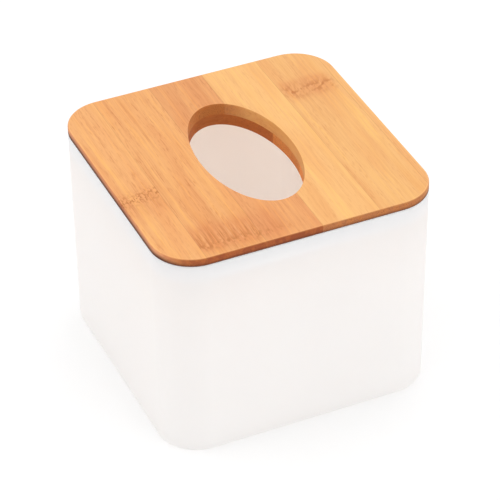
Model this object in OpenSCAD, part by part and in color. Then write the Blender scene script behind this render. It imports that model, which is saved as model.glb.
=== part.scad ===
// Tissue box cover: a moulded plastic box, open at the top, under a lift-off bamboo lid with an
// oval opening that the tissues are pulled through. The lid is a glued board of two layers of
// staves: the upper layer runs front to back and the lower one crosses it. A rebate all round
// the board leaves a rim, which rests on the box's mouth, and a plug, which drops inside it.
// Millimetres, +Z up. The origin is the middle of the underside, and -Y is the front.

/* [Overall] */
// Width of the lid and of the box at its mouth, along X
width = 135; // [110:1:180]
// Depth of the lid and of the box at its mouth, along Y
depth = 135; // [110:1:180]
// Height from the table to the top of the lid
height = 110; // [60:1:200]
// Radius of the upright corners of the lid and of the mouth
corner_r = 20; // [12:0.5:30]

/* [Box] */
// Thickness of the moulded side walls
wall = 2.4; // [1.8:0.1:4]
// Thickness of the moulded floor
floor_t = 2.4; // [1.6:0.1:5]
// How far each wall leans in between the mouth and the foot
draft = 0.8; // [0:0.1:2]
// Rounding of the outer edge at the foot
foot_round = 0.8; // [0.3:0.1:2]
// Rounding inside, where the walls meet the floor
floor_round = 3; // [1:0.5:6]
// Rounding of the mouth's outer edge
lip_round = 1.2; // [0.3:0.1:1.3]
// Rounding of the mouth's inner edge
lip_inner_round = 0.3; // [0.1:0.1:0.5]

/* [Lid] */
// Thickness of the upper layer of staves
upper_t = 6; // [3:0.5:10]
// Thickness of the lower layer of staves
lower_t = 6; // [3:0.5:10]
// Height of the rim, the part of the lid's edge that stays above the mouth
rim_h = 4; // [2.5:0.5:6]
// Rounding of the rim's upper edge
rim_round = 0.9; // [0.3:0.1:1.5]
// Rounding of the rim's and the plug's lower edges
under_round = 0.4; // [0.2:0.1:0.8]
// Gap all round between the lid's plug and the box's walls
plug_gap = 0.5; // [0.3:0.1:1.5]

/* [Opening] */
// Width of the oval opening, along X
opening_w = 45; // [30:1:60]
// Length of the oval opening, along Y
opening_l = 83; // [50:1:95]

/* [Hidden] */
$fn = 96;
// Straight steps in each small rounding
round_steps = 4;
// How far a cutting shape runs past what it cuts
overrun = 2;
// Places of the glued joints, left to right in the upper layer and front to back in the lower.
// Shares from -1 to 1 span the opening, and those out to -2 and 2 the board beside it
upper_joint_shares = [-1.5845, -0.9, 0.312, 1.2845, 1.916];
lower_joint_shares = [-0.979, -0.3025, 0.371, 1.0758];
// Height of the box alone, where the rim rests on its mouth
box_h = height - rim_h;
// Height of the glue line between the layers
layer_z = height - upper_t;
// Height of the plug's underside
plug_z = layer_z - lower_t;
// Radius of the plug's corners, which share their centres with those of the lid
plug_r = corner_r - wall - plug_gap;
// Places of the corners' centres
corner_x = width / 2 - corner_r;
corner_y = depth / 2 - corner_r;
// Edges of the staves in each layer, from past one side of the lid to past the other
upper_edges = concat(
  [-width / 2 - overrun],
  [for (share = upper_joint_shares) joint_place(share, opening_w, width)],
  [width / 2 + overrun]
);
lower_edges = concat(
  [-depth / 2 - overrun],
  [for (share = lower_joint_shares) joint_place(share, opening_l, depth)],
  [depth / 2 + overrun]
);
box_colour = "whitesmoke";
upper_colour = "burlywood";
lower_colour = "peru";

// Distance of a joint from the middle of the board, given how far the opening and the board reach
// across it
function joint_place(share, across_opening, across_board) =
  abs(share) <= 1
    ? share * across_opening / 2
    : sign(share) * (across_opening + (abs(share) - 1) * (across_board - across_opening)) / 2;

// Points of a rounding of radius r about a centre, from one angle to another
function rounding(centre, r, from, to) = [
  for (i = [0 : round_steps])
    let (a = from + (to - from) * i / round_steps)
    centre + r * [cos(a), sin(a)]
];

// Half a section of the box, measured outwards from the line of the corners' centres
module box_section() {
  foot_r = corner_r - draft;
  floor_r = foot_r - wall;
  mouth_r = corner_r - wall;
  polygon(concat(
    [[0, 0]],
    rounding([foot_r - foot_round, foot_round], foot_round, -90, 0),
    rounding([corner_r - lip_round, box_h - lip_round], lip_round, 0, 90),
    rounding([mouth_r + lip_inner_round, box_h - lip_inner_round], lip_inner_round, 90, 180),
    rounding([floor_r - floor_round, floor_t + floor_round], floor_round, 0, -90),
    [[0, floor_t]]
  ));
}

// Half a section of the lid's board, measured outwards from the line of the corners' centres
module board_section() {
  polygon(concat(
    [[0, plug_z]],
    rounding([plug_r - under_round, plug_z + under_round], under_round, -90, 0),
    [[plug_r, box_h]],
    rounding([corner_r - under_round, box_h + under_round], under_round, -90, 0),
    rounding([corner_r - rim_round, height - rim_round], rim_round, 0, 90),
    [[0, height]]
  ));
}

// A section carried along the four sides and round the four corners, about a flat middle that
// reaches from one height to another
module carried_round(from_z, to_z) {
  for (turn = [0 : 3]) {
    out = turn % 2 == 0 ? corner_x : corner_y;
    along = turn % 2 == 0 ? corner_y : corner_x;
    rotate(90 * turn)
      translate([out, along, 0]) {
        rotate([90, 0, 0])
          linear_extrude(2 * along)
            children();
        rotate_extrude(angle = 90)
          children();
      }
  }
  translate([-corner_x, -corner_y, from_z])
    cube([2 * corner_x, 2 * corner_y, to_z - from_z]);
}

// The oval that the tissues come through, cut straight down through both layers
module opening() {
  translate([0, 0, plug_z - overrun])
    linear_extrude(height - plug_z + 2 * overrun)
      scale([opening_w, opening_l])
        circle(d = 1);
}

// What one stave keeps of the glued and routed board: the block between two corners of a box
module from_board(low, high) {
  difference() {
    intersection() {
      carried_round(plug_z, height)
        board_section();
      translate(low)
        cube(high - low);
    }
    opening();
  }
}

// One stave of the upper layer, counted from the left. front and back cut off the half that the
// opening leaves as a stave of its own
module upper_stave(number, front = true, back = true) {
  color(upper_colour)
    from_board(
      [upper_edges[number - 1], front ? -depth / 2 - overrun : 0, layer_z],
      [upper_edges[number], back ? depth / 2 + overrun : 0, height + overrun]
    );
}

// One stave of the lower layer, counted from the front, whole or only its left or right half
module lower_stave(number, left = true, right = true) {
  color(lower_colour)
    from_board(
      [left ? -width / 2 - overrun : 0, lower_edges[number - 1], plug_z - overrun],
      [right ? width / 2 + overrun : 0, lower_edges[number], layer_z]
    );
}

module box_shell() {
  color(box_colour)
    carried_round(0, floor_t)
      box_section();
}

box_shell();
upper_stave(1);  // upper_stave_1
upper_stave(2);  // upper_stave_2
upper_stave(3, back = false);  // upper_stave_3_front
upper_stave(3, front = false);  // upper_stave_3_back
upper_stave(4);  // upper_stave_4
upper_stave(5);  // upper_stave_5
upper_stave(6);  // upper_stave_6
lower_stave(1);  // lower_stave_1
lower_stave(2, right = false);  // lower_stave_2_left
lower_stave(2, left = false);  // lower_stave_2_right
lower_stave(3, right = false);  // lower_stave_3_left
lower_stave(3, left = false);  // lower_stave_3_right
lower_stave(4);  // lower_stave_4
lower_stave(5);  // lower_stave_5
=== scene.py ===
"""Tissue box cover: a white moulded box under a lift-off lid of glued bamboo staves.

Run as a script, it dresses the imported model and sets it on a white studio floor. It is laid out
as an add-on: the sidebar of the 3D view has its sizes and colours, and a button for each part.
Lengths are in metres, +Z is up, the origin is the middle of the underside and -Y is the front.
"""

import math
from typing import NamedTuple

import bmesh
import bpy
from bpy.props import FloatProperty, FloatVectorProperty, PointerProperty
from mathutils import Matrix, Vector


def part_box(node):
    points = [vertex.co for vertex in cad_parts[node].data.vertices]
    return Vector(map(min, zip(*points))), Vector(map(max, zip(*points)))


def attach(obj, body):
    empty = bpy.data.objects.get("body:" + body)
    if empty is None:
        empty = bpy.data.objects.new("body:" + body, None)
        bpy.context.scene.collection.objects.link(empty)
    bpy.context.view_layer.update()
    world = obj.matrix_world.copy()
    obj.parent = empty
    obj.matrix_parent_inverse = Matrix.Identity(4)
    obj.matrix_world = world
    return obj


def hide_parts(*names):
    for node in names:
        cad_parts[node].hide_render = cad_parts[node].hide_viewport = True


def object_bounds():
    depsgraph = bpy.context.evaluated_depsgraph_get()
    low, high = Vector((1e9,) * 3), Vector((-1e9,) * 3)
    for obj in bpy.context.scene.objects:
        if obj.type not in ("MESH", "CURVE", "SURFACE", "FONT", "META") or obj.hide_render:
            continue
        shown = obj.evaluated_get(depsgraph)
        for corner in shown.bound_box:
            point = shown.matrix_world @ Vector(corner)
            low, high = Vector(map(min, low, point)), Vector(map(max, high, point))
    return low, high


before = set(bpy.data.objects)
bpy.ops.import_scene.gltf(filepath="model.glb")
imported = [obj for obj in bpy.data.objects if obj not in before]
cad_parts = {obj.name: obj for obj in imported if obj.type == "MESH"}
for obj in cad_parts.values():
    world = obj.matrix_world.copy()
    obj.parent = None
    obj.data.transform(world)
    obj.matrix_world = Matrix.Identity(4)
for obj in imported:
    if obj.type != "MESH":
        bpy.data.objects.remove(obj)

bl_info = {
    "name": "Tissue Box Cover",
    "version": (1, 0, 0),
    "blender": (4, 5, 0),
    "location": "3D View > Sidebar > Tissue Box",
    "description": "Makes a white tissue box with a bamboo lid, and a studio round it",
    "category": "Object",
}

CAD_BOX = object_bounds()
BOX_LOW, BOX_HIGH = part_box("box_shell")
UPPER_LOW, UPPER_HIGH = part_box("upper_stave_2")
PLUG_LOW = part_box("lower_stave_2_left")[0]

MILLIMETRE = 0.001
X, Y, Z = 0, 1, 2
# Steps along half a straight side, round a corner, and round a small edge
SIDE_STEPS = 6
CORNER_STEPS = 20
EDGE_STEPS = 6
QUADRANT_STEPS = 2 * SIDE_STEPS + CORNER_STEPS
# Edges that turn by less than this are shaded as one smooth surface
SMOOTH_ANGLE = math.radians(35)
# How near a stave's edge has to be to the layer's own to be the same edge
SAME_EDGE = 0.1 * MILLIMETRE
FLOOR_HALF_WIDTH = 4.0
# How far the floor lies under the box, so that the two don't share a plane
FLOOR_DROP = 0.1 * MILLIMETRE
# The softboxes stand far out, because floor behind one gets none of its light and looks grey
SOFTBOX_SIZE = 2.25
SOFTBOX_DISTANCE = 2.5
SOFTBOX_ELEVATION = math.radians(12)
FRONT_AZIMUTH = math.radians(30)
LEFT_AZIMUTH = math.radians(-115)
BACK_AZIMUTH = math.radians(135)
# Light has to pass both skins of the box's walls, and back
DIFFUSE_BOUNCES = 12


class Knuckle(NamedTuple):
    """A ring of the cane that planing leaves as a dark band across a stave. Millimetres, and
    shares from nought to one."""

    place: float  # Along the grain, where its line crosses the middle of the lid
    climb: float  # How far its line rises for each millimetre across
    wander: float  # How far its line strays
    height: float  # Half the height of the band
    size: float  # Width of its blots
    gap: float  # Between its strokes
    reach: float  # How far its strokes run out of the band, below nought if towards the front
    lean: float  # How far its blots and strokes lean over
    blots: float  # How dark its blots are
    strokes: float  # How dark its strokes are
    tint: float  # How much it shades the wood round them
    start: float = -90.0  # Places across the grain that it lies between
    end: float = 90.0
    fade: float = 1.0  # How far in from them it is at full strength


class Stave(NamedTuple):
    """How one stave differs from the rest."""

    tone: tuple  # What its face colour is multiplied by
    streaks: float  # How dark the streaks in its face are
    cut: tuple = (1.0, 1.0, 1.0)  # What its end grain is multiplied by
    knuckles: tuple = ()


# Two staves side by side share one knuckle, whose strokes stand like the teeth of a comb
COMB = Knuckle(
    place=-61, climb=-0.03, wander=3, height=2.8, size=1.5, gap=1.8, reach=14,
    lean=0, blots=0.8, strokes=1, tint=1,
)
# The cut of the paler staves, more amber than plain end grain
AMBER = (1.34, 1.95, 2.3)
UPPER_STAVES = {
    "upper_stave_1": Stave(
        tone=(0.98, 0.93, 0.93),
        streaks=0.75,
        knuckles=(
            Knuckle(
                place=-6, climb=0.13, wander=3, height=4.2, size=1.1, gap=2.6, reach=-15,
                lean=0, blots=0.9, strokes=0.4, tint=0.4,
            ),
        ),
    ),
    "upper_stave_2": Stave(tone=(0.955, 0.885, 0.85), streaks=0.9, knuckles=(COMB,)),
    "upper_stave_3_front": Stave(
        tone=(0.92, 0.8, 0.775),
        streaks=0.7,
        cut=(0.88, 0.84, 0.8),
        knuckles=(COMB._replace(blots=0.5, strokes=0.3, tint=0.6, end=1, fade=16),),
    ),
    "upper_stave_3_back": Stave(tone=(0.88, 0.755, 0.73), streaks=0.7, cut=(1.36, 1.95, 1.6)),
    "upper_stave_4": Stave(tone=(1.02, 1.085, 1.07), streaks=0.5, cut=AMBER),
    "upper_stave_5": Stave(
        tone=(0.98, 1.025, 0.985),
        streaks=0.6,
        cut=AMBER,
        knuckles=(
            Knuckle(
                place=35, climb=0, wander=2, height=4.6, size=2.5, gap=2.6, reach=9,
                lean=0.3, blots=0.85, strokes=0.4, tint=0.9, start=34, end=64, fade=5,
            ),
        ),
    ),
    "upper_stave_6": Stave(tone=(0.97, 0.98, 0.94), streaks=0.7, cut=AMBER),
}
LOWER_STAVES = {
    "lower_stave_1": Stave(tone=(1.0, 0.98, 0.96), streaks=0.8, cut=(2.0, 2.4, 1.8)),
    "lower_stave_2_left": Stave(tone=(1.0, 1.0, 1.0), streaks=0.8, cut=(2.0, 2.4, 1.8)),
    "lower_stave_2_right": Stave(tone=(1.0, 1.0, 1.0), streaks=0.8, cut=(2.5, 3.5, 2.7)),
    "lower_stave_3_left": Stave(tone=(0.85, 0.7, 0.65), streaks=0.9, cut=(1.97, 2.8, 2.3)),
    "lower_stave_3_right": Stave(tone=(0.85, 0.7, 0.65), streaks=0.9, cut=(1.97, 2.8, 2.3)),
    "lower_stave_4": Stave(tone=(0.59, 0.4, 0.3), streaks=0.9, cut=(1.35, 1.5, 1.03)),
    "lower_stave_5": Stave(tone=(0.9, 0.8, 0.75), streaks=0.8),
}


def length(name, description, default):
    """A size in metres."""
    return FloatProperty(
        name=name, description=description, default=default, min=0, unit="LENGTH", precision=4
    )


def colour(name, description, default):
    """A colour, in linear red, green and blue."""
    return FloatVectorProperty(
        name=name, description=description, default=default, min=0, max=1, size=3, subtype="COLOR"
    )


def share(name, description, default, limit=1.0):
    """A plain number from nought to its limit."""
    return FloatProperty(name=name, description=description, default=default, min=0, max=limit)


def angle(name, description, degrees):
    """An angle, given in degrees."""
    return FloatProperty(
        name=name, description=description, default=math.radians(degrees), unit="ROTATION"
    )


def power(name, description, default):
    """The power of a lamp, in watts."""
    return FloatProperty(name=name, description=description, default=default, min=0, unit="POWER")


class BoxSettings(bpy.types.PropertyGroup):
    """Sizes and finish of the moulded box."""

    width: length("Width", "Across the mouth, along X", BOX_HIGH.x - BOX_LOW.x)
    depth: length("Depth", "Across the mouth, along Y", BOX_HIGH.y - BOX_LOW.y)
    height: length("Height", "From the table to the mouth", BOX_HIGH.z)
    corner: length("Corner radius", "Radius of the upright corners at the mouth", 0.020)
    wall: length("Wall", "Thickness of the side walls", 0.0024)
    floor: length("Floor", "Thickness of the floor", 0.0024)
    draft: length("Draft", "How far each wall leans in towards the foot", 0.0008)
    foot_round: length("Foot rounding", "Rounding of the outer edge at the foot", 0.0008)
    floor_round: length("Floor rounding", "Rounding where the walls meet the floor", 0.003)
    lip_round: length("Lip rounding", "Rounding of the mouth's outer edge", 0.0012)
    lip_inner_round: length("Inner lip rounding", "Rounding of the mouth's inner edge", 0.0003)
    plastic: colour("Plastic", "Colour of the outside of the moulding", (0.955, 0.98, 0.998))
    # Painted warm light: the inside is warmer in colour than the outside of the same plastic, for
    # light thrown down by the bamboo
    inside: colour("Inside", "Colour of the inside of the moulding", (1.0, 0.955, 0.915))
    glow: colour("Glow", "Colour of light that comes through the plastic", (0.995, 0.96, 0.935))
    clearness: share("Clearness", "How much of the light goes on through the plastic", 0.47)
    lip_clearness: share("Lip clearness", "The same for the denser plastic at the mouth", 0.36)
    roughness: share("Roughness", "Roughness of the satin surface", 0.42)
    texture: length("Texture", "Height of the fine texture that the mould leaves", 0.000006)


class LidSettings(bpy.types.PropertyGroup):
    """Sizes and finish of the bamboo lid."""

    top: length("Top", "Height of the lid's top above the table", UPPER_HIGH.z)
    glue_line: length("Glue line", "Height of the joint between the two layers", UPPER_LOW.z)
    underside: length("Underside", "Height of the underside of the plug", PLUG_LOW.z)
    plug: length("Plug", "Half the width of the plug, which drops in the mouth", -PLUG_LOW.x)
    rim_round: length("Rim rounding", "Rounding of the rim's upper edge", 0.0009)
    under_round: length("Lower rounding", "Rounding under the rim and under the plug", 0.0004)
    opening_width: length("Opening width", "Width of the oval opening, along X", 0.045)
    opening_length: length("Opening length", "Length of the oval opening, along Y", 0.083)
    opening_round: length("Opening rounding", "Rounding of the opening's edges", 0.0005)
    face: colour("Face", "Bamboo along the fibres", (0.868, 0.439, 0.158))
    end: colour("End grain", "Bamboo cut across the fibres", (0.33, 0.08, 0.0225))
    fibre: colour("Fibre", "Dark bundles of fibre", (0.585, 0.187, 0.038))
    knuckle: colour("Knuckle", "Darkest part of a planed knuckle of the cane", (0.5, 0.152, 0.027))
    # Painted shade: the dark line of the gap between the rim's lower edge and the box's mouth
    scorch: colour("Scorch", "The rim's lower edge, darkened by the router", (0.09, 0.026, 0.01))
    raw: colour("Raw", "The underside, which is sanded and not lacquered", (0.93, 0.68, 0.42))
    glue: colour("Glue", "The thin line of glue between staves", (0.42, 0.17, 0.05))
    roughness: share("Roughness", "Roughness of the satin lacquer", 0.46)
    lacquer: share("Lacquer", "How much clear lacquer lies on the wood", 0.05)
    grain: length("Grain", "Depth of the open grain", 0.00004)


class StudioSettings(bpy.types.PropertyGroup):
    """The camera, the floor and the lights."""

    azimuth: angle("Azimuth", "Turn of the camera about the upright, from the front", -24.045)
    elevation: angle("Elevation", "Angle of the camera above the floor", 36.803)
    roll: angle("Roll", "Turn of the camera about its own axis", -0.673)
    distance: length("Distance", "From the camera to the point that it looks at", 1.25374)
    aim: FloatVectorProperty(
        name="Aim",
        description="The point that the camera looks at",
        default=(0.00101, -0.00147, 0.0538),
        subtype="TRANSLATION",
        unit="LENGTH",
    )
    lens: FloatProperty(name="Lens", description="Focal length", default=191.79, unit="CAMERA")
    surround: share("Surround", "Strength of the white light from all round", 1.0, 2.0)
    front: power("Front", "Power of the softbox in front, a little to the right", 15.0)
    left: power("Left", "Power of the softbox on the left, a little to the back", 17.0)
    back: power("Back", "Power of the softbox behind the right back corner", 9.6)
    floor: colour("Floor", "Colour of the floor", (0.96, 0.96, 0.96))
    floor_glow: share("Floor glow", "Share of its light that the floor gives off by itself", 0.5)


class TissueBoxSettings(bpy.types.PropertyGroup):
    """Everything that the sidebar shows."""

    box: PointerProperty(type=BoxSettings)
    lid: PointerProperty(type=LidSettings)
    studio: PointerProperty(type=StudioSettings)


def put_in_scene(name, data):
    """Makes an object, in place of any that an earlier press of the same button left."""
    old = bpy.data.objects.get(name)
    if old:
        bpy.data.objects.remove(old)
    made = bpy.data.objects.new(name, data)
    bpy.context.scene.collection.objects.link(made)
    return made


def finish_piece(node, form, material, body):
    """Turns a closed bmesh into the piece that stands for a CAD node and moves with its body."""
    bmesh.ops.recalc_face_normals(form, faces=form.faces)
    if any(len(edge.link_faces) != 2 for edge in form.edges):
        raise RuntimeError(f"the mesh for {node} isn't closed")
    mesh = bpy.data.meshes.new(node)
    form.to_mesh(mesh)
    form.free()
    mesh.shade_smooth()
    mesh.set_sharp_from_angle(angle=SMOOTH_ANGLE)
    mesh.materials.append(material)
    piece = put_in_scene(node + "_finished", mesh)
    even = piece.modifiers.new("Even shading", "WEIGHTED_NORMAL")
    even.keep_sharp = True
    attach(piece, body)
    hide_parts(node)
    return piece


def rounding(centre, radius, start, end):
    """Points of a small rounding in a section, as (distance out, height), between two angles."""
    points = []
    for step in range(EDGE_STEPS + 1):
        turn = math.radians(start + (end - start) * step / EDGE_STEPS)
        points.append((centre[0] + radius * math.cos(turn), centre[1] + radius * math.sin(turn)))
    return points


def square_ring(corner, radius, height):
    """A ring round the rounded square whose corners have their centres at corner, anticlockwise
    from the middle of the +X side."""
    ring = []
    for quadrant in range(4):
        out, along = (corner.x, corner.y) if quadrant % 2 == 0 else (corner.y, corner.x)
        turn = Matrix.Rotation(quadrant * math.pi / 2, 3, "Z")
        points = [(out + radius, along * step / SIDE_STEPS) for step in range(SIDE_STEPS)]
        for step in range(CORNER_STEPS):
            at = math.pi / 2 * step / CORNER_STEPS
            points.append((out + radius * math.cos(at), along + radius * math.sin(at)))
        points += [(out * (1 - step / SIDE_STEPS), along + radius) for step in range(SIDE_STEPS)]
        ring += [turn @ Vector((x, y, height)) for x, y in points]
    return ring


def oval_ring(half_width, half_length, height):
    """A ring round the oval, with as many points as square_ring has and from the same side."""
    count = 4 * QUADRANT_STEPS
    ring = []
    for step in range(count):
        at = 2 * math.pi * step / count
        ring.append(Vector((half_width * math.cos(at), half_length * math.sin(at), height)))
    return ring


def skin(rings, closed):
    """A bmesh skinned over rings. It closes on its first ring, or else ends in two flat caps."""
    form = bmesh.new()
    rows = [[form.verts.new(point) for point in ring] for ring in rings]
    count = len(rows[0])
    following = rows[1:] + rows[:1] if closed else rows[1:]
    for lower, upper in zip(rows, following):
        for step in range(count):
            after = (step + 1) % count
            form.faces.new((lower[step], lower[after], upper[after], upper[step]))
    if not closed:
        form.faces.new(rows[0])
        form.faces.new(rows[-1])
    return form


def box_form(box):
    """The moulding: up the outside from the underside, over the lip and down to the floor."""
    corner = Vector((box.width / 2 - box.corner, box.depth / 2 - box.corner))
    foot = box.corner - box.draft
    floor = foot - box.wall
    mouth = box.corner - box.wall
    foot_round, floor_round = box.foot_round, box.floor_round
    lip, inner_lip = box.lip_round, box.lip_inner_round
    section = [
        *rounding((foot - foot_round, foot_round), foot_round, -90, 0),
        *rounding((box.corner - lip, box.height - lip), lip, 0, 90),
        *rounding((mouth + inner_lip, box.height - inner_lip), inner_lip, 90, 180),
        *rounding((floor - floor_round, box.floor + floor_round), floor_round, 0, -90),
    ]
    return skin([square_ring(corner, out, height) for out, height in section], closed=False)


def board_form(box, lid):
    """The whole lid, before it is parted into staves: up the oval's wall, across the top, down
    the rim, in under it and down the plug."""
    corner = Vector((box.width / 2 - box.corner, box.depth / 2 - box.corner))
    plug = lid.plug - corner.x
    ease, rim, under = lid.opening_round, lid.rim_round, lid.under_round
    wall = [
        *rounding((ease, lid.underside + ease), ease, 270, 180),
        *rounding((ease, lid.top - ease), ease, 180, 90),
    ]
    outside = [
        *rounding((box.corner - rim, lid.top - rim), rim, 90, 0),
        *rounding((box.corner - under, box.height + under), under, 0, -90),
        (plug, box.height),
        *rounding((plug - under, lid.underside + under), under, 0, -90),
    ]
    half_width, half_length = lid.opening_width / 2, lid.opening_length / 2
    rings = [oval_ring(half_width + out, half_length + out, height) for out, height in wall]
    rings += [square_ring(corner, out, height) for out, height in outside]
    return skin(rings, closed=True)


def saw(form, axis, place, keep_above):
    """Saws a form across at a place on an axis, drops one side and closes the sawn face."""
    normal = Vector((0, 0, 0))
    normal[axis] = -1 if keep_above else 1
    at = Vector((0, 0, 0))
    at[axis] = place
    everything = [*form.verts, *form.edges, *form.faces]
    bmesh.ops.bisect_plane(form, geom=everything, plane_co=at, plane_no=normal, clear_outer=True)
    sawn = [edge for edge in form.edges if len(edge.link_faces) == 1]
    bmesh.ops.holes_fill(form, edges=sawn, sides=0)


def stave_form(board, node, layer, across, glue_line):
    """What one stave keeps of the board: what lies between its joints, on its own side of the
    glue line and, where the opening parts a stave in two, on its own side of the middle."""
    low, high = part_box(node)
    form = board.copy()
    if low[across] > min(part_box(other)[0][across] for other in layer) + SAME_EDGE:
        saw(form, across, low[across], keep_above=True)
    if high[across] < max(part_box(other)[1][across] for other in layer) - SAME_EDGE:
        saw(form, across, high[across], keep_above=False)
    along = Y if across == X else X
    if low[along] > 0 or high[along] < 0:
        saw(form, along, 0, keep_above=low[along] > 0)
    saw(form, Z, glue_line, keep_above=high.z > glue_line + SAME_EDGE)
    return form


def feed(tree, plug, value):
    """Links a signal or a socket to an input, or sets the input to a plain value."""
    if isinstance(value, Signal):
        value = value.socket
    if isinstance(value, bpy.types.NodeSocket):
        tree.links.new(value, plug)
    else:
        plug.default_value = value


def add_node(tree, kind, inputs=(), **settings):
    """A node with its settings, and with its inputs fed by name or by number."""
    node = tree.nodes.new(kind)
    for name, value in settings.items():
        setattr(node, name, value)
    for name, value in dict(inputs).items():
        feed(tree, node.inputs[name], value)
    return node


class Signal:
    """A number on its way through a node tree, so that sums are written as sums."""

    def __init__(self, tree, socket):
        self.tree = tree
        self.socket = socket

    def maths(self, operation, *others):
        """This number put through one Math node."""
        numbers = enumerate((self, *others))
        node = add_node(self.tree, "ShaderNodeMath", numbers, operation=operation)
        return Signal(self.tree, node.outputs[0])

    def __add__(self, other):
        return self.maths("ADD", other)

    def __sub__(self, other):
        return self.maths("SUBTRACT", other)

    def __mul__(self, other):
        return self.maths("MULTIPLY", other)

    def __truediv__(self, other):
        return self.maths("DIVIDE", other)

    def step(self, low, high):
        """A soft step: nought below low, one above high. High may be the lower of the two."""
        node = add_node(
            self.tree,
            "ShaderNodeMapRange",
            {"Value": self, "From Min": low, "From Max": high},
            interpolation_type="SMOOTHSTEP",
        )
        return Signal(self.tree, node.outputs[0])

    def hump(self, width):
        """One at nought, falling off to both sides over about the width."""
        far = self / width
        return (far * far * -1).maths("EXPONENT")


# Places of a Mix node's sockets when it mixes colours
MIX_AMOUNT, MIX_FIRST, MIX_SECOND, MIX_RESULT = 0, 6, 7, 2


def blend(tree, amount, first, second, kind="MIX"):
    """Two colours mixed, as a socket."""
    inputs = {MIX_AMOUNT: amount, MIX_FIRST: first, MIX_SECOND: second}
    node = add_node(tree, "ShaderNodeMix", inputs, data_type="RGBA", blend_type=kind)
    return node.outputs[MIX_RESULT]


def blend_shaders(tree, amount, first, second):
    """Two shaders mixed, as a socket."""
    node = add_node(tree, "ShaderNodeMixShader", {0: amount, 1: first, 2: second})
    return node.outputs[0]


NUMBER, COLOUR = "NodeSocketFloat", "NodeSocketColor"


def new_group(name, inputs, outputs):
    """A node group, its inputs as signals or sockets, and its output node."""
    tree = bpy.data.node_groups.new(name, "ShaderNodeTree")
    for socket, kind in inputs.items():
        tree.interface.new_socket(socket, in_out="INPUT", socket_type=kind)
    for socket, kind in outputs.items():
        tree.interface.new_socket(socket, in_out="OUTPUT", socket_type=kind)
    source = tree.nodes.new("NodeGroupInput").outputs
    signals = {
        name: Signal(tree, source[name]) if kind == NUMBER else source[name]
        for name, kind in inputs.items()
    }
    return tree, signals, tree.nodes.new("NodeGroupOutput").inputs


PLACE = {"Across": NUMBER, "Along": NUMBER, "Through": NUMBER}
WHITE = (1.0, 1.0, 1.0, 1.0)
# Colours that the wood takes on in places; two are painted highlights, on the rounded edges and
# between a knuckle's strokes
CLOUD_SHADE = (0.97, 0.90, 0.86, 1.0)
PALE_FIBRE = (1.0, 0.72, 0.42, 1.0)
OPEN_PORE = (0.16, 0.05, 0.02, 1.0)
KNUCKLE_SHADE = (0.905, 0.77, 0.735, 1.0)
# Painted highlight on the ridges between a knuckle's strokes
RIDGE_HIGHLIGHT = (1.0, 0.55, 0.24, 1.0)
# Painted highlight on the rounded edges
ARRIS_HIGHLIGHT = (1.0, 0.62, 0.32, 1.0)
OPENING_SHADE = (0.785, 0.74, 0.69, 1.0)
RIM_SHADE = (0.79, 0.7, 0.95, 1.0)
# How much of the wood's colour gives way to some of them, and to the lid's own colours
RIDGE_HIGHLIGHT_SHARE = 0.3
ARRIS_HIGHLIGHT_SHARE = 0.35
RAW_SHARE = 0.65
GLUE_SHARE = 0.4
# Colours in the plastic: where the melt flowed, and of the light that comes out through it
FLOW_SHADE = (0.992, 0.992, 0.992, 1.0)
OUTER_GLOW = (0.99, 0.985, 0.98, 1.0)
# Millimetres. The grain of every stave is cut from one block, this far from its neighbour's
SHIFT_ACROSS = 37.0
SHIFT_ALONG = 411.0
# Width of the glue that shows on each side of a joint
GLUE_WIDTH = 0.14
# Heights from the box's mouth at which its denser plastic sets in, and at which it is full
LIP_BAND = (-10, -7)
# Heights from the box's mouth between which the painted shade of the gap under the rim fades out
# upwards, and downwards, and how much lower it fades out on cut ends
GAP_SHADE_FADE_UP = (3.4, 0.7)
GAP_SHADE_FADE_DOWN = (-0.6, -0.2)
GAP_SHADE_DROP = 1.2
# Shares of the lid's half width between which the opening's shade turns into the rim's
RIM_BAND = (0.85, 0.9)


def streaks(tree, place, width, run, detail=2.0, rough=0.5):
    """Noise drawn out along the grain, about so wide and so long in millimetres."""
    stretched = add_node(
        tree,
        "ShaderNodeCombineXYZ",
        {0: place["Across"] / width, 1: place["Along"] / run, 2: place["Through"] / width},
    )
    noise = add_node(
        tree,
        "ShaderNodeTexNoise",
        {"Vector": stretched.outputs[0], "Scale": 1.0, "Detail": detail, "Roughness": rough},
    )
    return Signal(tree, noise.outputs[0])


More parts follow.
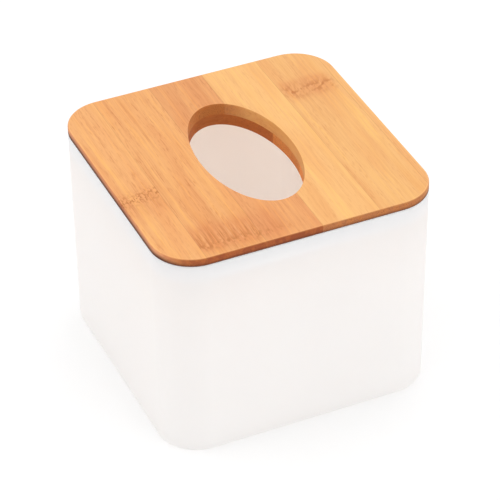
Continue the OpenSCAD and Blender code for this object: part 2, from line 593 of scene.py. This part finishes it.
def bamboo_grain_group():
    """Bamboo as cut along its fibres, or across them where End is one."""
    tree, source, result = new_group(
        "Bamboo grain",
        {
            **PLACE,
            **dict.fromkeys(("End", "Streaks"), NUMBER),
            **dict.fromkeys(("Face", "Cut", "Fibre"), COLOUR),
        },
        {"Colour": COLOUR, "Height": NUMBER},
    )
    # The fibres don't run quite straight
    wave = streaks(tree, source, width=20.0, run=45.0, detail=1) - 0.5
    source["Across"] = source["Across"] + wave * 2.0
    lanes = streaks(tree, source, width=4.5, run=220.0, detail=3)
    clouds = streaks(tree, source, width=9.0, run=60.0, detail=2)
    fibres = streaks(tree, source, width=1.4, run=70.0, detail=3, rough=0.62)
    hairs = streaks(tree, source, width=0.4, run=14.0, detail=1)
    dashes = streaks(tree, source, width=0.6, run=5.0, detail=1)
    # Along the fibres: dark bundles, hairs, and dashes that crowd together in lanes
    crowded = lanes.step(0.42, 0.6) * 0.32 + 0.15
    dark = fibres.step(0.46, 0.72) * 0.36 + hairs.step(0.5, 0.7) * 0.28
    dark = dark + dashes.step(0.54, 0.72) * crowded
    dark = (dark * source["Streaks"]).maths("MINIMUM", 1.0)
    face = blend(tree, clouds.step(0.42, 0.66), source["Face"], CLOUD_SHADE, "MULTIPLY")
    face = blend(tree, dark, face, source["Fibre"])
    pale = fibres.step(0.48, 0.3) * 0.35 + lanes.step(0.5, 0.34) * 0.15
    face = blend(tree, pale, face, PALE_FIBRE, "SOFT_LIGHT")
    # Across the fibres: darker blocks, and the pores at the ends of the bundles
    blocks = streaks(tree, source, width=3.5, run=60.0, detail=1)
    pores = streaks(tree, source, width=0.45, run=0.8, detail=1).step(0.5, 0.7)
    cut = blend(tree, blocks.step(0.45, 0.6) * 0.3, source["Cut"], source["Fibre"])
    cut = blend(tree, pores * 0.5, cut, OPEN_PORE)
    feed(tree, result["Colour"], blend(tree, source["End"], face, cut))
    feed(tree, result["Height"], hairs * 0.6 + dashes * 0.4 - pores * source["End"] * 0.5)
    return tree


def knuckle_group():
    """How dark a planed knuckle is at a place on its stave, how much painted highlight lies on the
    ridges between its strokes, and how much it tints the wood."""
    tree, source, result = new_group(
        "Bamboo knuckle",
        {**PLACE, **{field.capitalize(): NUMBER for field in Knuckle._fields}},
        {"Dark": NUMBER, "Highlight": NUMBER, "Tint": NUMBER},
    )
    within = source["Across"].step(source["Start"], source["Start"] + source["Fade"])
    within = within * source["Across"].step(source["End"], source["End"] - source["Fade"])
    stray = streaks(tree, source, width=3.0, run=400.0, detail=3, rough=0.7) - 0.5
    line = source["Place"] + source["Across"] * source["Climb"] + stray * source["Wander"]
    off = source["Along"] - line
    leaning = {**source, "Across": source["Across"] - source["Along"] * source["Lean"]}
    size = source["Size"]
    blots = streaks(tree, leaning, width=size, run=size * 1.8, detail=1).step(0.46, 0.62)
    blots = blots * off.hump(source["Height"]) * source["Blots"]
    # The strokes stand side by side, like the teeth of a comb, and each has its own length
    teeth = add_node(
        tree,
        "ShaderNodeTexVoronoi",
        {"W": (leaning["Across"] + stray * 1.5) / source["Gap"], "Scale": 1.0, "Randomness": 0.9},
        voronoi_dimensions="1D",
    )
    drawn = add_node(tree, "ShaderNodeSeparateColor", {0: teeth.outputs["Color"]})
    chance = Signal(tree, drawn.outputs[0])
    from_tooth = Signal(tree, teeth.outputs["Distance"])
    # Nought at the line and one where the strokes end
    far = off / source["Reach"]
    begun = far.step(-0.1, 0.05)
    worn = streaks(tree, leaning, width=0.6, run=5.0, detail=1).step(0.3, 0.55)
    strokes = from_tooth.step(0.26, 0.08) * worn
    strokes = strokes * (far + chance * 0.5).step(1.1, 0.6) * (chance * 0.5 + 0.5)
    hairs = streaks(tree, leaning, width=0.45, run=8.0, detail=1).step(0.5, 0.7)
    hairs = hairs * far.step(1.0, 0.4)
    strokes = strokes.maths("MAXIMUM", hairs * 0.6) * begun * source["Strokes"]
    # Painted highlight on the ridges between the strokes
    ridge_highlight = from_tooth.step(0.25, 0.45) * begun * far.step(1.0, 0.5)
    ridge_highlight = ridge_highlight * chance * source["Strokes"]
    reached = far.step(-0.4, 0.1) * far.step(1.5, 0.6)
    tint = reached.maths("MAXIMUM", off.hump(source["Height"] * 1.5)) + off.hump(24.0) * 0.3
    feed(tree, result["Dark"], blots.maths("MAXIMUM", strokes) * within)
    feed(tree, result["Highlight"], ridge_highlight * within)
    feed(tree, result["Tint"], tint * source["Tint"] * within)
    return tree


def once(name, make):
    """A node group that is made the first time it is asked for."""
    return bpy.data.node_groups.get(name) or make()


def new_material(name):
    """An empty material, as (material, tree, the socket that its surface goes to)."""
    material = bpy.data.materials.new(name)
    material.use_nodes = True
    tree = material.node_tree
    tree.nodes.clear()
    return material, tree, tree.nodes.new("ShaderNodeOutputMaterial").inputs["Surface"]


def times(colour, tone):
    """A colour multiplied by a tone, with the alpha that sockets want."""
    return (*(part * by for part, by in zip(colour, tone)), 1.0)


def in_millimetres(tree, texture_place):
    """The piece's own X, Y and Z in millimetres, as three signals."""
    scaled = add_node(
        tree,
        "ShaderNodeVectorMath",
        {0: texture_place.outputs["Object"], "Scale": 1 / MILLIMETRE},
        operation="SCALE",
    )
    parts = add_node(tree, "ShaderNodeSeparateXYZ", {0: scaled.outputs[0]})
    return [Signal(tree, socket) for socket in parts.outputs]


def bamboo_material(node, stave, across, number, lid):
    """Bamboo for one stave: its tone, its run of grain, its knuckles and its glue lines."""
    material, tree, surface = new_material("Bamboo " + node.replace("_", " "))
    texture_place = tree.nodes.new("ShaderNodeTexCoord")
    axes = in_millimetres(tree, texture_place)
    facing = add_node(tree, "ShaderNodeSeparateXYZ", {0: texture_place.outputs["Normal"]})
    along = Y if across == X else X
    end = Signal(tree, facing.outputs[along]).maths("ABSOLUTE").step(0.3, 1.0)
    grain = add_node(
        tree,
        "ShaderNodeGroup",
        {
            "Across": axes[across] + SHIFT_ACROSS * number,
            "Along": axes[along] + SHIFT_ALONG * number,
            "Through": axes[Z],
            "End": end,
            "Streaks": stave.streaks,
            "Face": times(lid.face, stave.tone),
            "Cut": times(lid.end, stave.cut),
            "Fibre": times(lid.fibre, stave.tone),
        },
        node_tree=once("Bamboo grain", bamboo_grain_group),
    )
    wood = grain.outputs["Colour"]
    height = Signal(tree, grain.outputs["Height"])
    for knuckle in stave.knuckles:
        fed = {"Across": axes[across], "Along": axes[along], "Through": axes[Z]}
        fed.update((name.capitalize(), value) for name, value in knuckle._asdict().items())
        group = once("Bamboo knuckle", knuckle_group)
        band = add_node(tree, "ShaderNodeGroup", fed, node_tree=group)
        dark, pale = Signal(tree, band.outputs["Dark"]), Signal(tree, band.outputs["Highlight"])
        wood = blend(tree, band.outputs["Tint"], wood, KNUCKLE_SHADE, "MULTIPLY")
        # Painted highlight on the ridges between the strokes
        wood = blend(tree, pale * RIDGE_HIGHLIGHT_SHARE, wood, RIDGE_HIGHLIGHT)
        wood = blend(tree, dark, wood, (*lid.knuckle, 1.0))
        height = height - dark * 0.5
    # The underside, and over it the glue that shows at the joints
    below = Signal(tree, facing.outputs[Z]).step(-0.5, -0.9)
    wood = blend(tree, below * RAW_SHARE, wood, (*lid.raw, 1.0))
    low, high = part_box(node)
    joints = [axes[across] - edge / MILLIMETRE for edge in (low[across], high[across])]
    seam = joints[0].hump(GLUE_WIDTH).maths("MAXIMUM", joints[1].hump(GLUE_WIDTH))
    wood = blend(tree, seam * GLUE_SHARE, wood, (*lid.glue, 1.0))
    # Painted highlight on the rounded edges of the top and of the underside
    upward = Signal(tree, facing.outputs[Z]).maths("ABSOLUTE")
    arris_highlight = (upward - 0.93).hump(0.05)
    wood = blend(tree, arris_highlight * ARRIS_HIGHLIGHT_SHARE, wood, ARRIS_HIGHLIGHT)
    # The upright faces, where they run along the fibres. Outside is one at the rim
    sawn = upward.step(0.9, 0.5)
    ripped = sawn * (end * -1 + 1)
    outside = axes[X].maths("ABSOLUTE").maths("MAXIMUM", axes[Y].maths("ABSOLUTE"))
    outside = (outside / (BOX_HIGH.x / MILLIMETRE)).step(*RIM_BAND)
    side = blend(tree, outside, OPENING_SHADE, RIM_SHADE)
    wood = blend(tree, ripped, wood, side, "MULTIPLY")
    # Painted shade of the gap between the rim's lower edge and the box's mouth, all round
    above = axes[Z] - BOX_HIGH.z / MILLIMETRE
    gap_shade_mask = (above + end * GAP_SHADE_DROP).step(*GAP_SHADE_FADE_UP) * above.step(*GAP_SHADE_FADE_DOWN)
    wood = blend(tree, gap_shade_mask * outside, wood, (*lid.scorch, 1.0))
    bump = add_node(
        tree, "ShaderNodeBump", {"Strength": 1.0, "Distance": lid.grain, "Height": height}
    )
    shader = add_node(
        tree,
        "ShaderNodeBsdfPrincipled",
        {
            "Base Color": wood,
            "Roughness": height * -0.12 + sawn * 0.25 + (lid.roughness + 0.06),
            "Normal": bump.outputs[0],
            "Specular IOR Level": 0.2,
            "Coat Weight": lid.lacquer,
            "Coat Roughness": 0.3,
        },
    )
    feed(tree, surface, shader.outputs[0])
    return material


def plastic_material(box):
    """Satin white plastic that light comes through, with the fine texture of its mould."""
    material, tree, surface = new_material("White moulded plastic")
    texture_place = tree.nodes.new("ShaderNodeTexCoord")
    axes = in_millimetres(tree, texture_place)
    place = dict(zip(PLACE, axes))
    texture = streaks(tree, place, width=0.35, run=0.35, detail=2)
    flow = streaks(tree, place, width=40.0, run=40.0, detail=1).step(0.35, 0.7)
    bump = add_node(
        tree, "ShaderNodeBump", {"Strength": 1.0, "Distance": box.texture, "Height": texture}
    )
    # A face is on the inside if it looks towards the middle of the box
    from_middle = add_node(
        tree,
        "ShaderNodeVectorMath",
        {0: texture_place.outputs["Object"], 1: (0, 0, box.height / 2)},
        operation="SUBTRACT",
    )
    facing = add_node(
        tree,
        "ShaderNodeVectorMath",
        {0: from_middle.outputs[0], 1: texture_place.outputs["Normal"]},
        operation="DOT_PRODUCT",
    )
    inward = Signal(tree, facing.outputs["Value"]).step(0.004, -0.004)
    # The warmer inside colour is painted warm light from the bamboo
    plain = blend(tree, inward, (*box.plastic, 1.0), (*box.inside, 1.0))
    shader = add_node(
        tree,
        "ShaderNodeBsdfPrincipled",
        {
            "Base Color": blend(tree, flow, plain, FLOW_SHADE, "MULTIPLY"),
            "Roughness": texture * 0.1 + (box.roughness - 0.05),
            "Normal": bump.outputs[0],
            "Specular IOR Level": 0.4,
        },
    )
    glow = blend(tree, inward, OUTER_GLOW, (*box.glow, 1.0))
    through = add_node(tree, "ShaderNodeBsdfTranslucent", {"Color": glow})
    dense = (axes[Z] - box.height / MILLIMETRE).step(*LIP_BAND)
    clear = dense * (box.lip_clearness - box.clearness) + box.clearness
    feed(tree, surface, blend_shaders(tree, clear, shader.outputs[0], through.outputs[0]))
    return material


def seen_share(tree):
    """One for the rays by which the camera sees a thing, also in a gloss or through glass."""
    path = tree.nodes.new("ShaderNodeLightPath")
    seen = Signal(tree, path.outputs["Is Camera Ray"])
    seen = seen.maths("MAXIMUM", path.outputs["Is Glossy Ray"])
    return seen.maths("MAXIMUM", path.outputs["Is Transmission Ray"])


def make_surround(strength):
    """White all round: at full white to the eye, and at its own strength as light."""
    world = bpy.data.worlds.new("White surround")
    world.use_nodes = True
    tree = world.node_tree
    tree.nodes.clear()
    light = add_node(tree, "ShaderNodeBackground", {"Color": WHITE, "Strength": strength})
    white = add_node(tree, "ShaderNodeBackground", {"Color": WHITE, "Strength": 1.0})
    both = blend_shaders(tree, seen_share(tree), light.outputs[0], white.outputs[0])
    output = tree.nodes.new("ShaderNodeOutputWorld")
    feed(tree, output.inputs["Surface"], both)
    bpy.context.scene.world = world


def make_floor(studio):
    """A wide white floor that keeps the box's shadow. As on a light table, some of the light that
    it sends up is its own. It hides nothing from an eye below it."""
    half, low = FLOOR_HALF_WIDTH, -FLOOR_DROP
    form = bmesh.new()
    corners = ((-half, -half, low), (half, -half, low), (half, half, low), (-half, half, low))
    form.faces.new([form.verts.new(corner) for corner in corners])
    mesh = bpy.data.meshes.new("studio_floor")
    form.to_mesh(mesh)
    form.free()
    material, tree, surface = new_material("Studio floor")
    # The glow isn't sampled as a lamp, because on so wide a floor that leaves marks under the box
    material.cycles.emission_sampling = "NONE"
    matt = add_node(tree, "ShaderNodeBsdfDiffuse", {"Color": (*studio.floor, 1.0)})
    glow = add_node(tree, "ShaderNodeEmission", {"Color": WHITE, "Strength": 1.0})
    unseen = (seen_share(tree) * -1 + 1) * studio.floor_glow
    top = blend_shaders(tree, unseen, matt.outputs[0], glow.outputs[0])
    clear = tree.nodes.new("ShaderNodeBsdfTransparent")
    back = tree.nodes.new("ShaderNodeNewGeometry").outputs["Backfacing"]
    feed(tree, surface, blend_shaders(tree, back, top, clear.outputs[0]))
    mesh.materials.append(material)
    put_in_scene("studio_floor", mesh)


def from_angles(azimuth, elevation):
    """The direction that lies at an azimuth from the front and an elevation above the floor."""
    flat = math.cos(elevation)
    return Vector((math.sin(azimuth) * flat, -math.cos(azimuth) * flat, math.sin(elevation)))


def make_softbox(name, watts, azimuth):
    """A square softbox, low down, that looks at the middle of the object and that the camera
    can't see."""
    lamp = bpy.data.lights.new(name, "AREA")
    lamp.energy = watts
    lamp.size = SOFTBOX_SIZE
    middle = Vector((0, 0, CAD_BOX[1].z / 2))
    out = from_angles(azimuth, SOFTBOX_ELEVATION)
    made = put_in_scene(name, lamp)
    made.location = middle + out * SOFTBOX_DISTANCE
    made.rotation_euler = out.to_track_quat("Z", "Y").to_euler()
    made.visible_camera = False


def make_camera(studio):
    """The camera, at the angle and the distance of the photograph."""
    data = bpy.data.cameras.new("camera")
    data.lens = studio.lens
    out = from_angles(studio.azimuth, studio.elevation)
    level = Vector((math.cos(studio.azimuth), math.sin(studio.azimuth), 0))
    upright = out.cross(level)
    right = level * math.cos(studio.roll) + upright * math.sin(studio.roll)
    up = out.cross(right)
    made = put_in_scene("camera", data)
    turn = Matrix((right, up, out)).transposed().to_4x4()
    made.matrix_world = Matrix.Translation(Vector(studio.aim) + out * studio.distance) @ turn
    bpy.context.scene.camera = made


class TISSUEBOX_OT_studio(bpy.types.Operator):
    """Sets up the camera, the white floor and the lights"""

    bl_idname = "tissue_box.studio"
    bl_label = "Set Up Studio"

    def execute(self, context):
        studio = context.scene.tissue_box.studio
        context.scene.view_settings.view_transform = "Standard"
        make_surround(studio.surround)
        make_floor(studio)
        make_softbox("front_softbox", studio.front, FRONT_AZIMUTH)
        make_softbox("left_softbox", studio.left, LEFT_AZIMUTH)
        make_softbox("back_softbox", studio.back, BACK_AZIMUTH)
        make_camera(studio)
        context.scene.cycles.diffuse_bounces = DIFFUSE_BOUNCES
        return {"FINISHED"}


class TISSUEBOX_OT_box(bpy.types.Operator):
    """Makes the white moulded box"""

    bl_idname = "tissue_box.box"
    bl_label = "Mould Box"

    def execute(self, context):
        box = context.scene.tissue_box.box
        finish_piece("box_shell", box_form(box), plastic_material(box), "box")
        return {"FINISHED"}


def make_staves(context, layer, across):
    """Makes the staves of one layer of the lid, which lie side by side along the axis across."""
    settings = context.scene.tissue_box
    board = board_form(settings.box, settings.lid)
    for number, (node, stave) in enumerate(layer.items()):
        form = stave_form(board, node, layer, across, settings.lid.glue_line)
        material = bamboo_material(node, stave, across, number, settings.lid)
        finish_piece(node, form, material, "lid")
    board.free()


class TISSUEBOX_OT_upper_staves(bpy.types.Operator):
    """Makes the upper layer of the lid, whose staves run front to back"""

    bl_idname = "tissue_box.upper_staves"
    bl_label = "Lay Upper Staves"

    def execute(self, context):
        make_staves(context, UPPER_STAVES, X)
        return {"FINISHED"}


class TISSUEBOX_OT_lower_staves(bpy.types.Operator):
    """Makes the lower layer of the lid, whose staves run side to side"""

    bl_idname = "tissue_box.lower_staves"
    bl_label = "Lay Lower Staves"

    def execute(self, context):
        make_staves(context, LOWER_STAVES, Y)
        return {"FINISHED"}


class TISSUEBOX_PT_sidebar(bpy.types.Panel):
    """The sidebar's panel: a button for each part, with its sizes and colours under it"""

    bl_label = "Tissue Box"
    bl_idname = "TISSUEBOX_PT_sidebar"
    bl_space_type = "VIEW_3D"
    bl_region_type = "UI"
    bl_category = "Tissue Box"

    def draw(self, context):
        settings = context.scene.tissue_box
        parts = (
            (settings.studio, (TISSUEBOX_OT_studio,)),
            (settings.box, (TISSUEBOX_OT_box,)),
            (settings.lid, (TISSUEBOX_OT_upper_staves, TISSUEBOX_OT_lower_staves)),
        )
        for group, operators in parts:
            panel = self.layout.box()
            for operator in operators:
                panel.operator(operator.bl_idname)
            for name in group.__annotations__:
                panel.prop(group, name)


CLASSES = (
    BoxSettings,
    LidSettings,
    StudioSettings,
    TissueBoxSettings,
    TISSUEBOX_OT_studio,
    TISSUEBOX_OT_box,
    TISSUEBOX_OT_upper_staves,
    TISSUEBOX_OT_lower_staves,
    TISSUEBOX_PT_sidebar,
)


def register():
    for each in CLASSES:
        bpy.utils.register_class(each)
    bpy.types.Scene.tissue_box = PointerProperty(type=TissueBoxSettings)


def unregister():
    del bpy.types.Scene.tissue_box
    for each in reversed(CLASSES):
        bpy.utils.unregister_class(each)


def main():
    register()
    bpy.ops.tissue_box.studio()
    bpy.ops.tissue_box.box()
    bpy.ops.tissue_box.upper_staves()
    bpy.ops.tissue_box.lower_staves()


if __name__ == "__main__":
    main()
